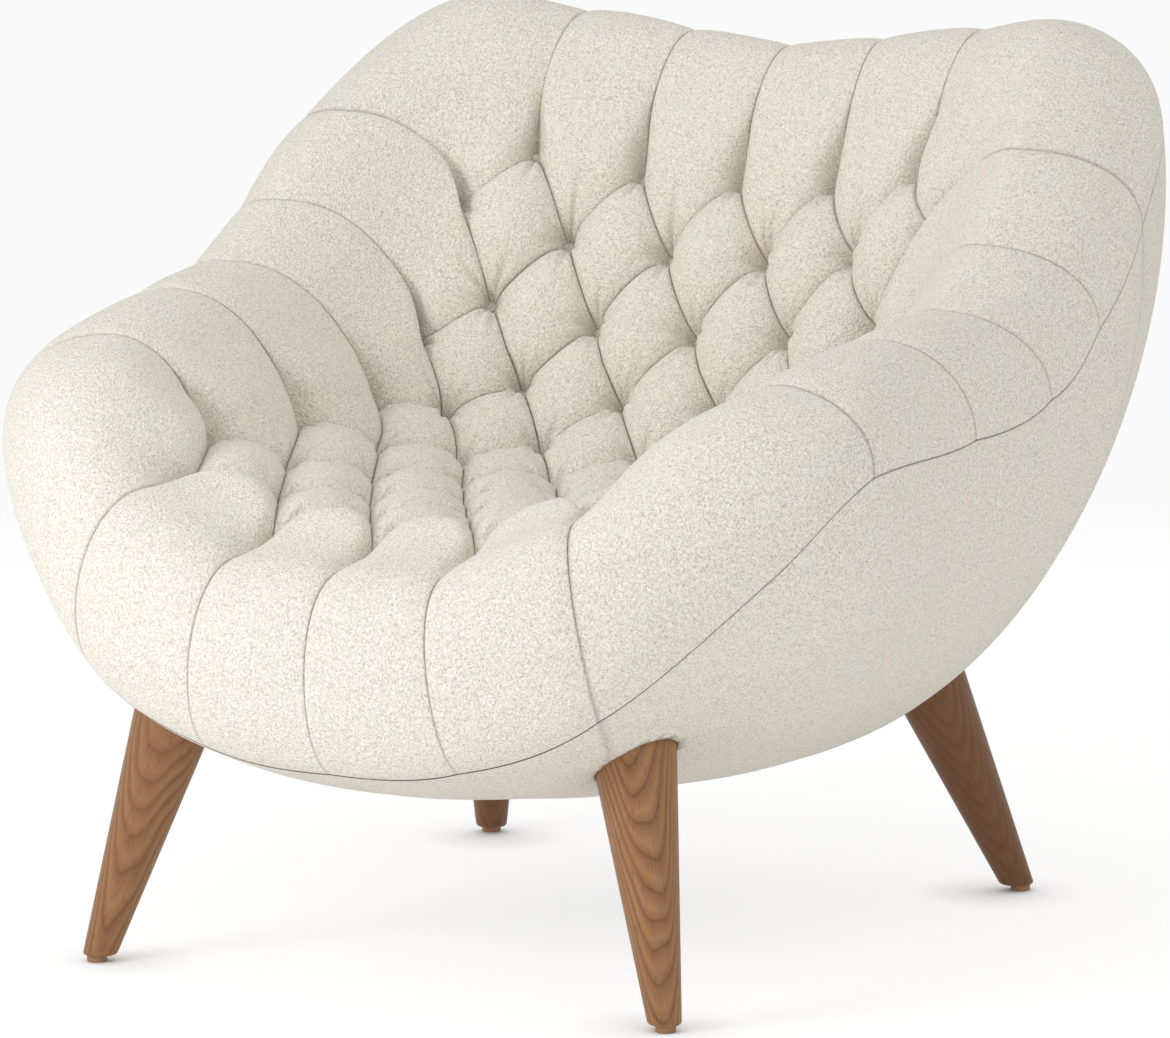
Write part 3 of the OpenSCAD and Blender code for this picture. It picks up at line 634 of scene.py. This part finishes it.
def walnutWood():
    p = Paint("oiled walnut")
    at = p.node("Attribute", {"attribute_name": "grain"}, None, "Vector")
    slow = p.stretched(at, 0.22)
    wander = p.node("TexNoise", None, {"Vector": slow, "Scale": walnut["driftScale"], "Detail": 2}, "Color")
    drift = p.node("VectorMath", {"operation": "SCALE"}, {0: wander, "Scale": walnut["drift"]})
    trunk = p.node("VectorMath", {"operation": "ADD"}, {0: at, 1: drift})
    apart = p.node("VectorMath", {"operation": "SUBTRACT"}, {0: trunk, 1: walnut["heart"]})
    flat = p.node("VectorMath", {"operation": "MULTIPLY"}, {0: apart, 1: (1, 1, walnut["taper"])})
    rings = p.node("VectorMath", {"operation": "LENGTH"}, {0: flat}, "Value") / walnut["ringGap"]
    ring = p.node("Math", {"operation": "FRACT"}, {0: rings})
    fibre = p.noise(p.stretched(at, 0.03), 420, 3, 0.6)
    pores = p.spread(p.noise(p.stretched(at, 0.045), 900, 1, 0.5), 0.62, 0.72)
    broad = p.noise(slow, 30, 2, 0.5)
    tone = p.ramp(ring, [
        (0.0, walnut["middle"]), (0.35, walnut["light"]), (0.84, walnut["middle"]), (0.97, walnut["line"])])
    tinted = p.blend(p.spread(broad, 0.35, 0.7) * 0.6, tone, walnut["middle"])
    # painted shade on the back legs and a little wood tone on the front ones, darkening the walnut per leg
    darker = p.node("Attribute", {"attribute_name": "darker"}, None, "Fac")
    fibred = p.blend(fibre * 0.26 + darker, tinted, walnut["dark"])
    return p.finish(
        Base_Color=p.blend(pores * 0.5, fibred, walnut["dark"]),
        Roughness=p.spread(fibre, 0.3, 0.7, 0.36, 0.48),
        Specular_IOR_Level=0.3,
        Coat_Weight=0.05,
        Coat_Roughness=0.3,
        Normal=p.bump(fibre - pores, 0.0003, 0.6),
    )


cover = woolCloth()
walnutPaint = walnutWood()
print("materials ready")


# tufted pads


def padTop(a, b):
    c, r = a - b, a + b
    return sheetAt(c, r) + puffAt(a, b)[..., None] * sheetNormal(c, r)


def padCrease(a, b):
    a, b = np.mod(a, 1), np.mod(b, 1)
    x = np.minimum(np.minimum(a, 1 - a), np.minimum(b, 1 - b))
    return creaseAt(x * tufting["pleatLength"])


def padUnder(a, b):
    c, r = a - b, a + b
    return sheetAt(c, r) - tufting["padThickness"] * sheetNormal(c, r)


def tuftedPad(name, rows, node):
    bm = bmesh.new()
    steps = cosineSteps(tufting["cells"])
    for r in rows:
        for c in range(-4, 5):
            if (c + r) % 2 == 0 and abs(c) <= (4 if r % 2 == 0 else 3):
                grid(bm, (r + c) / 2 + steps, (r - c) / 2 + steps, padTop, padCrease)
                grid(bm, (r + c) / 2 + steps, (r - c) / 2 + steps, padUnder)
    closePad(bm)
    makePiece(name, bm, cover, [node])


tuftedPad("seatPad", range(5, 9), "seat_pad")
tuftedPad("backPad", range(0, 5), "back_pad")
print("pads ready")


# channelled roll


def channelSteps(k):
    # the cells stand close at the seams and at the tip halfway, which corner channels don't have
    n = tufting["cells"]
    if k % 20 in (2, 7, 12, 17):
        return k + cosineSteps(2 * n)
    half = cosineSteps(n) / 2
    return k + np.concatenate([half, 0.5 + half[1:]])


def rollPiece(name, first, last, node):
    bm = bmesh.new()
    n, close = rollSizes["rows"], rollSizes["closeShare"]
    near = close * np.linspace(0, 1, n // 2 + 1) ** 2
    rows = np.concatenate([near, np.linspace(close, 1, n + 1)[1:-1], rollSizes["lastRows"]])
    for k in range(first, last):
        steps = channelSteps(k)
        grid(bm, steps, rows, rollTop, rollCrease)
        grid(bm, steps, rows, rollUnder)
    closePad(bm)
    makePiece(name, bm, cover, [node])


rollPiece("frontRoll", -2, 2, "front_roll")
rollPiece("rightArmRoll", 2, 7, "right_arm_roll")
rollPiece("backRoll", 7, 13, "back_roll")
rollPiece("leftArmRoll", 13, 18, "left_arm_roll")
print("rolls ready")


# outside panels

outside = {
    "thickness": 0.012,
    "columns": 24,
    "rows": 40,
    "firstRows": [0, 0.002, 0.005],
    "seamSide": 0.5,
    "fill": 0.4,
}


def outsidePanel(name, first, last, node):
    bm = bmesh.new()
    n = outside["columns"] * round((last - first) / 2) * 2
    us = np.linspace(first, last, n + 1)
    vs = np.concatenate([outside["firstRows"], np.linspace(0, 1, outside["rows"] + 1)[1:]])
    grid(bm, us, vs, lambda u, v: outsideAt(u, v, 0), lambda u, v: creaseAt(v * outside["seamSide"]))
    grid(bm, us, vs, lambda u, v: outsideAt(u, v, outside["thickness"]))
    closePad(bm)
    return makePiece(name, bm, cover, [node])


panels = [
    outsidePanel("outsideFront", -2, 2, "outside_front"),
    outsidePanel("outsideRight", 2, 7, "outside_right"),
    outsidePanel("outsideBack", 7, 13, "outside_back"),
    outsidePanel("outsideLeft", 13, 18, "outside_left"),
]
print("outside panels ready")


# buttons

buttonSizes = {
    "radius": 0.0062,
    "height": 0.0032,
    "lift": 0.0035,
    "rings": 5,
    "sides": 20,
    "sideLean": np.array([-0.76, -0.18, 0.63]),  # the way the outermost buttons face
    "cornerLean": np.array([-0.28, 0.58, 0.76]),
    "topLean": np.array([0, -0.35, -0.3]),  # added to the sheet's own way in the top row
}


def buttonWay(c, r):
    if c < 0:
        return buttonWay(-c, r) * mirrorX
    normal = sheetNormal(np.float64(c), np.float64(r))
    if c == 5:
        return unit(buttonSizes["sideLean"])
    if r == 0:
        return unit(normal + buttonSizes["topLean"])
    if r == 10 and c == 4:
        return unit(buttonSizes["cornerLean"])
    return normal


def alongWay(start, way):
    turn = Euler((0, acos(way[2]), atan2(way[1], way[0]))).to_matrix().to_4x4()
    return Matrix.Translation(Vector(start)) @ turn


def makeButtons(name, rows, nodes):
    bm = bmesh.new()
    for r in rows:
        for c in range(-5, 6):
            if (c + r) % 2:
                continue
            way = buttonWay(c, r)
            start = sheetAt(np.float64(c), np.float64(r)) + buttonSizes["lift"] * way
            made = bmesh.ops.create_uvsphere(
                bm, u_segments=buttonSizes["sides"], v_segments=2 * buttonSizes["rings"],
                radius=buttonSizes["radius"])["verts"]
            flat = Matrix.Diagonal((1, 1, buttonSizes["height"] / buttonSizes["radius"], 1))
            bmesh.ops.transform(bm, matrix=alongWay(start, way) @ flat, verts=made)
    makePiece(name, bm, cover, nodes)


makeButtons("backButtons", range(0, 6), ["upper_back_buttons", "lower_back_buttons"])
makeButtons("seatButtons", range(6, 11), ["seat_buttons", "front_buttons"])
print("buttons ready")


# legs

legSizes = {
    "frontFoot": (0.287, -0.370),
    "backFoot": (0.283, 0.313),
    "splay": radians(14),
    "frontRake": radians(11.5),
    "backRake": radians(23.5),
    "footRadius": 0.0145,
    "topRadius": 0.038,
    "footHeight": 0.0061,
    "topHeight": 0.240,
    "footBevel": 0.0028,
    "rings": 16,
    "sides": 72,
    "spareLength": 0.02,  # below the foot, before it is cut level
    "firstRing": 0.014,
    "clearance": 0.0008,
    "grainShift": 0.1,
    # how much darker each leg is painted: painted shade on the back legs, which stand in the chair's shade,
    # and a small wood tone difference between the front legs
    "darker": {"frontRight": 0.04, "frontLeft": 0.16, "backRight": 0.64, "backLeft": 0.64},
}


def legCone(bm, foot, rake, side, more=0.0):
    # adds a leaning cone, too long at the foot, and returns the turn that stands it in its place
    way = Vector((-side * tan(legSizes["splay"]), tan(rake), 1)).normalized()
    low, high = legSizes["footHeight"] / way.z, legSizes["topHeight"] / way.z
    slope = (legSizes["topRadius"] - legSizes["footRadius"]) / (high - low)
    others = set(bm.verts)
    n = legSizes["rings"] - 1
    heights = [mix(low + legSizes["firstRing"], high, k / n) for k in range(n + 1)]
    heights = [low - legSizes["spareLength"]] + heights
    points = [bm.verts.new((legSizes["footRadius"] + more + slope * (z - low), 0, z)) for z in heights]
    edges = [bm.edges.new(pair) for pair in zip(points, points[1:])]
    bmesh.ops.spin(bm, geom=points + edges, cent=(0, 0, 0), axis=(0, 0, 1), angle=2 * pi,
                   steps=legSizes["sides"], use_merge=True)
    bmesh.ops.remove_doubles(bm, verts=[v for v in bm.verts if v not in others], dist=1e-6)
    turn = alongWay((side * foot[0], foot[1], 0), way)
    bmesh.ops.transform(bm, matrix=turn, verts=[v for v in bm.verts if v not in others])
    return turn


def openPanels():
    # the holes that the legs pass through, a little wider than the legs
    bm = bmesh.new()
    for side in (1, -1):
        legCone(bm, legSizes["frontFoot"], legSizes["frontRake"], side, legSizes["clearance"])
        legCone(bm, legSizes["backFoot"], -legSizes["backRake"], side, legSizes["clearance"])
    bmesh.ops.holes_fill(bm, edges=[e for e in bm.edges if e.is_boundary], sides=0)
    makeOutward(bm)
    mesh = bpy.data.meshes.new("cutter")
    bm.to_mesh(mesh)
    bm.free()
    cutter = bpy.data.objects.new("cutter", mesh)
    bpy.context.scene.collection.objects.link(cutter)
    for panel in panels:
        hole = panel.modifiers.new("hole", "BOOLEAN")
        hole.operation, hole.solver, hole.object = "DIFFERENCE", "EXACT", cutter
        ready = panel.evaluated_get(bpy.context.evaluated_depsgraph_get())
        opened = bpy.data.meshes.new_from_object(ready)
        panel.modifiers.remove(hole)
        bm = bmesh.new()
        bm.from_mesh(opened)
        bmesh.ops.remove_doubles(bm, verts=bm.verts, dist=5e-6)
        bmesh.ops.triangulate(bm, faces=[f for f in bm.faces if len(f.verts) > 4])
        bmesh.ops.dissolve_degenerate(bm, edges=bm.edges, dist=5e-6)
        makeOutward(bm)
        bm.to_mesh(opened)
        bm.free()
        panel.data = opened
    bpy.data.objects.remove(cutter)


def makeLeg(name, foot, rake, side, node):
    bm = bmesh.new()
    turn = legCone(bm, foot, rake, side)
    geometry = bm.verts[:] + bm.edges[:] + bm.faces[:]
    level = legSizes["footHeight"]
    bmesh.ops.bisect_plane(bm, geom=geometry, plane_co=(0, 0, level), plane_no=(0, 0, 1), clear_inner=True)
    bmesh.ops.holes_fill(bm, edges=[e for e in bm.edges if e.is_boundary], sides=0)
    sole = [e for e in bm.edges if all(abs(v.co.z - level) < 1e-6 for v in e.verts)]
    bmesh.ops.bevel(bm, geom=sole, offset=legSizes["footBevel"], segments=4, profile=0.5,
                    affect="EDGES", material=-1)
    makeOutward(bm)
    lean = turn.col[2]
    upright = Matrix.Rotation(atan2(lean[1], lean[0]), 4, "Z") @ turn.inverted()
    local = [upright @ v.co for v in bm.verts]
    leg = makePiece(name + "Leg", bm, walnutPaint, [node])
    grain = leg.data.attributes.new("grain", "FLOAT_VECTOR", "POINT")
    for at, p in zip(grain.data, local):
        at.vector = p + Vector((0, 0, foot[1] + side * legSizes["grainShift"]))
    # each leg's painted shade and wood tone, one value for the whole leg
    shade = leg.data.attributes.new("darker", "FLOAT", "POINT")
    for at in shade.data:
        at.value = legSizes["darker"][name]


for sideName, side in (("Right", 1), ("Left", -1)):
    low = sideName.lower()
    makeLeg("front" + sideName, legSizes["frontFoot"], legSizes["frontRake"], side, "front_%s_leg" % low)
    makeLeg("back" + sideName, legSizes["backFoot"], -legSizes["backRake"], side, "back_%s_leg" % low)
openPanels()
print("legs ready")


# parts that keep their frame shape

hidden = {
    "frame_wood": plainPaint(
        "sawn beech", (0.62, 0.45, 0.27), (0.74, 0.58, 0.38), 60, 0.7, stretch=(1, 0.1, 1)),
    "frame_steel": plainPaint(
        "painted steel", (0.05, 0.05, 0.055), (0.07, 0.07, 0.075), 200, 0.45, 0.0001, 0.6),
    "webbing": plainPaint("webbing", (0.03, 0.03, 0.035), (0.06, 0.06, 0.065), 700, 0.85),
    "foam": plainPaint("foam", (0.80, 0.76, 0.62), (0.72, 0.67, 0.52), 500, 0.95, 0.0008),
    "dust_cloth": plainPaint("dust cloth", (0.012, 0.012, 0.013), (0.022, 0.022, 0.023), 900, 0.9),
    "glide_plastic": plainPaint("nylon", (0.27, 0.14, 0.065), (0.32, 0.17, 0.08), 300, 0.5, 0.0001),
}
slotOf = {part["node"]: part["material_slot"] for part in frame["record"]["subparts"]}
for name, node in frame["nodes"].items():
    if slotOf[name] in hidden:
        node.data.materials.clear()
        node.data.materials.append(hidden[slotOf[name]])
print("frame parts painted")


# floor, light and camera

studio = {
    "white": (0.956, 0.956, 0.956),
    "nearGlow": (1.2, 1.2, 1.2),
    "nearEnd": 1.2,  # from here the floor's glow fades to white
    "farStart": 2.6,
    "floorSize": 30,
    "floorColour": (0.9, 0.9, 0.9),
    "floorShare": 0.6,
    "floorBounce": 0.14,
    "worldLight": 0.70,
    "footShade": 0.07,  # how far a foot darkens the floor, on the side away from shadeFrom
    "shadeFrom": (-0.80, -0.45, 0.40),
}


def floorPaint():
    p = Paint("studio floor")
    at = p.place()
    apart = p.node("VectorMath", {"operation": "LENGTH"}, {0: at}, "Value")
    far = p.spread(apart, studio["nearEnd"], studio["farStart"])
    seen = p.node("LightPath", output="Is Camera Ray")
    glow = p.node("Emission", None, {
        "Color": p.blend(far, studio["nearGlow"], studio["white"]), "Strength": 1.0})
    plain = p.node("BsdfDiffuse", None, {"Color": studio["floorColour"]})
    bounce = p.node("Emission", None, {"Color": (1, 1, 1), "Strength": studio["floorBounce"]})
    lit = p.node("MixShader", None, {0: seen, 1: p.node("AddShader", None, {0: plain, 1: bounce}), 2: plain})
    # painted shadow: occlusion leaned towards shadeFrom takes glow off the floor beside each foot
    clear = p.node("AmbientOcclusion", {"samples": 8}, {
        "Distance": studio["footShade"], "Normal": studio["shadeFrom"]}, "AO")
    share = seen * (studio["floorShare"] + (1 - studio["floorShare"]) * far) * clear**2
    both = p.node("MixShader", None, {0: share, 1: lit, 2: glow})
    end = p.tree.nodes.new("ShaderNodeOutputMaterial")
    p.tree.links.new(both.socket, end.inputs["Surface"])
    return p.material


bm = bmesh.new()
bmesh.ops.create_grid(bm, x_segments=1, y_segments=1, size=studio["floorSize"])
mesh = bpy.data.meshes.new("floor")
bm.to_mesh(mesh)
bm.free()
mesh.materials.append(floorPaint())
floor = bpy.data.objects.new("floor", mesh)
bpy.context.scene.collection.objects.link(floor)

world = bpy.data.worlds.new("studio")
world.use_nodes = True
bpy.context.scene.world = world
tree = world.node_tree
tree.nodes.clear()
path = tree.nodes.new("ShaderNodeLightPath")
seen = tree.nodes.new("ShaderNodeBackground")
seen.inputs["Color"].default_value = (*studio["white"], 1)
soft = tree.nodes.new("ShaderNodeBackground")
soft.inputs["Color"].default_value = (1, 1, 1, 1)
soft.inputs["Strength"].default_value = studio["worldLight"]
either = tree.nodes.new("ShaderNodeMixShader")
tree.links.new(path.outputs["Is Camera Ray"], either.inputs[0])
tree.links.new(soft.outputs[0], either.inputs[1])
tree.links.new(seen.outputs[0], either.inputs[2])
end = tree.nodes.new("ShaderNodeOutputWorld")
tree.links.new(either.outputs[0], end.inputs["Surface"])

# place, aim, width, watts
lamps = {
    "keyLamp": ((-0.9, -1.9, 1.0), (0, -0.2, 0.3), 0.7, 15),
    "fillLamp": ((3.2, -2.3, 0.7), (0, 0, 0.2), 2.2, 15),
    "topLamp": ((0, -0.3, 3.2), (0, -0.1, 0.4), 1.8, 11),
}
for name, (at, aim, width, watts) in lamps.items():
    light = bpy.data.lights.new(name, "AREA")
    light.size = width
    light.energy = watts
    lamp = bpy.data.objects.new(name, light)
    bpy.context.scene.collection.objects.link(lamp)
    lamp.location = at
    lamp.rotation_euler = (Vector(aim) - Vector(at)).to_track_quat("-Z", "Y").to_euler()

view = {
    "place": (3.2955, -5.8024, 1.4022),
    "turn": (radians(81.182), 0, radians(29.608)),
    "lens": 231.05,
    "sensor": 36,
}
camera = bpy.data.objects.new("camera", bpy.data.cameras.new("camera"))
bpy.context.scene.collection.objects.link(camera)
camera.location = view["place"]
camera.rotation_euler = view["turn"]
camera.data.lens = view["lens"]
camera.data.sensor_width = view["sensor"]
bpy.context.scene.camera = camera
bpy.context.scene.view_settings.view_transform = "Standard"

print("scene ready")
